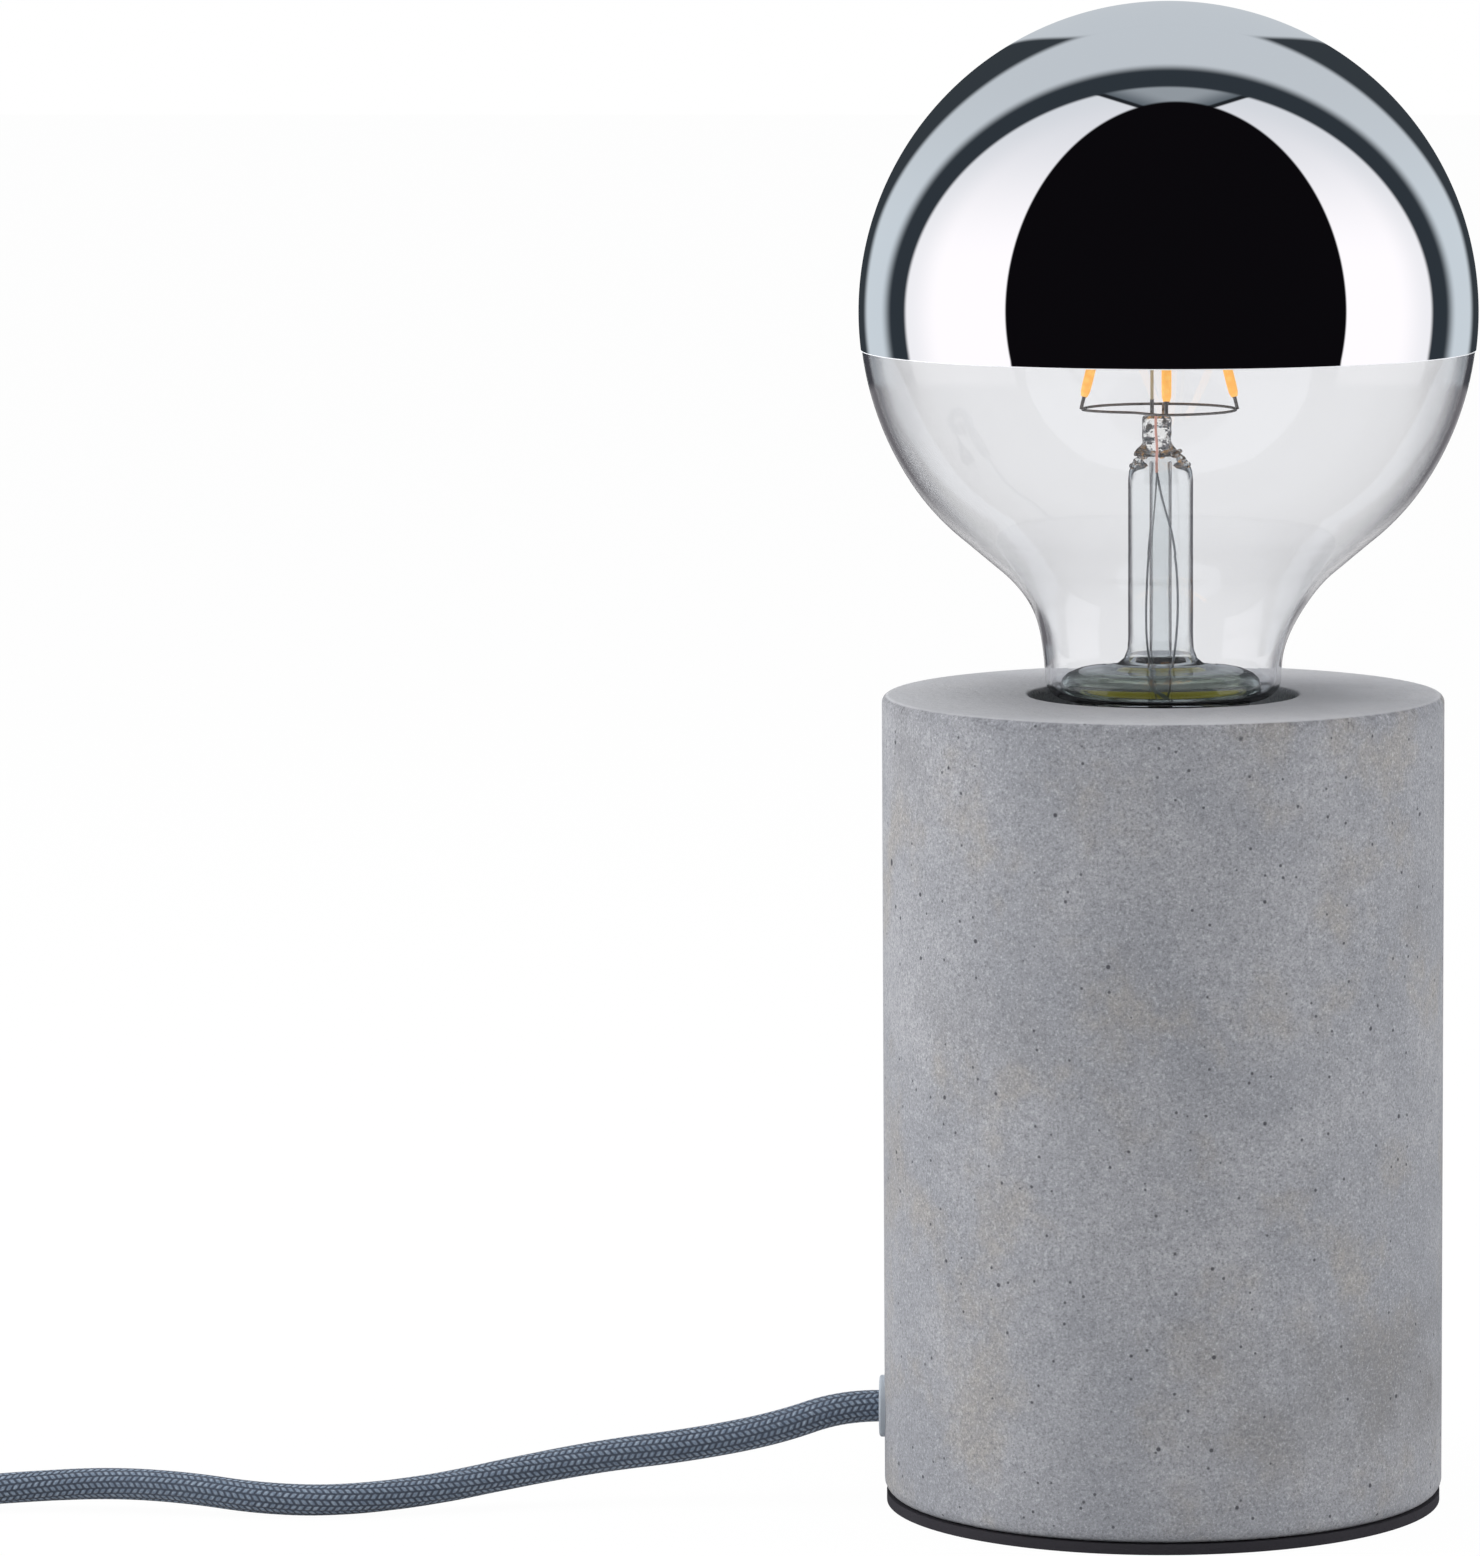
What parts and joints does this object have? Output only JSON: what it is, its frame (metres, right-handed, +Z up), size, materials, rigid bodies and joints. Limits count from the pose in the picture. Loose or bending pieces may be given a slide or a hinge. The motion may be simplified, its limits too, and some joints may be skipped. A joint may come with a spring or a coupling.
{
  "type": "bare bulb table lamp",
  "caption": "Squat cast concrete cylinder with a lampholder sunk in its top for a large mirrored-crown globe bulb with LED filaments, and a braided lead with inline switch and plug.",
  "frame": {"origin": "centre of the foot pad's underside, on the surface the lamp stands on", "axes": "+Z up along the lamp's own axis, -X the way the lead leaves the concrete body, -Y the side the picture was taken from"},
  "size_m": [0.4321, 0.1055, 0.232],
  "materials": {
    "concrete": "cast, fine speckle",
    "foot_pad": "matte",
    "grommet": "translucent satin",
    "holder_plastic": "matte",
    "steatite": "unglazed",
    "contact_brass": "sprung strip",
    "zinc_steel": "plated",
    "clamp_plastic": "satin",
    "cord_fabric": "woven braid",
    "core_brown": "satin",
    "core_blue": "satin",
    "solder_tip": "satin",
    "cap_insulator": "gloss",
    "cap_metal": "plated",
    "cement": "matte",
    "board": "satin",
    "bulb_glass": "clear",
    "mirror_coat": "polished",
    "stem_glass": "clear",
    "filament_phosphor": "matte",
    "support_metal": "drawn wire",
    "lead_copper": "drawn wire",
    "tie_strap": "matte",
    "switch_plastic": "satin",
    "rocker_plastic": "satin",
    "plug_plastic": "satin",
    "pin_metal": "plated",
    "pin_sleeve": "satin"
  },
  "bodies": {
    "lamp_base": {"concrete_body": "concrete", "base_pad": "foot_pad", "cable_grommet": "grommet", "holder_cup": "holder_plastic", "holder_skirt": "holder_plastic", "contact_block": "steatite", "centre_contact": "contact_brass", "side_contact": "contact_brass", "terminal_screws": "zinc_steel", "threaded_nipple": "zinc_steel", "nipple_washer": "zinc_steel", "nipple_nut": "zinc_steel", "clamp_lower": "clamp_plastic", "clamp_upper": "clamp_plastic", "clamp_screws": "zinc_steel", "flex_inner": "cord_fabric", "live_core": "core_brown", "neutral_core": "core_blue", "flex_run": "cord_fabric", "flex_link": "cord_fabric", "flex_coil": "cord_fabric", "flex_tail": "cord_fabric", "coil_tie": "tie_strap", "switch_lower": "switch_plastic", "switch_upper": "switch_plastic", "rocker_pin": "zinc_steel", "switch_screws": "zinc_steel", "switch_contacts": "contact_brass", "plug_body": "plug_plastic", "plug_pins": "pin_metal", "pin_sleeves": "pin_sleeve", "plug_relief": "plug_plastic"},
    "bulb_carrier": {"contact_button": "solder_tip", "cap_insulator": "cap_insulator"},
    "bulb": {"cap_shell": "cap_metal", "cement_ring": "cement", "driver_board": "board", "glass_envelope": "bulb_glass", "mirror_coating": "mirror_coat", "glass_stem": "stem_glass", "exhaust_tube": "stem_glass", "filament_ring": "support_metal", "filament_crown": "support_metal", "support_wire": "support_metal", "led_filament_1": "filament_phosphor", "led_filament_2": "filament_phosphor", "led_filament_3": "filament_phosphor", "led_filament_4": "filament_phosphor", "lead_wire_1": "lead_copper", "lead_wire_2": "support_metal"},
    "rocker": {"switch_rocker": "rocker_plastic"}
  },
  "joints": [
    {"name": "bulb_lift", "type": "slide", "parent": "lamp_base", "child": "bulb_carrier", "axis": [0, 0, 1], "range_m": [0, 0.0182]},
    {"name": "bulb_turn", "type": "hinge", "parent": "bulb_carrier", "child": "bulb", "pos_m": [0, 0, 0.11], "axis": [0, 0, 1], "range_deg": [0, 1800]},
    {"name": "switch_rocker_tilt", "type": "hinge", "parent": "lamp_base", "child": "rocker", "pos_m": [-0.26, -0.013, 0.014], "axis": [0, -1, 0], "range_deg": [0, 16]}
  ],
  "couplings": [
    {"joint": "bulb_lift", "follows": "bulb_turn", "m_per_rad": 0.00057757}
  ]
}
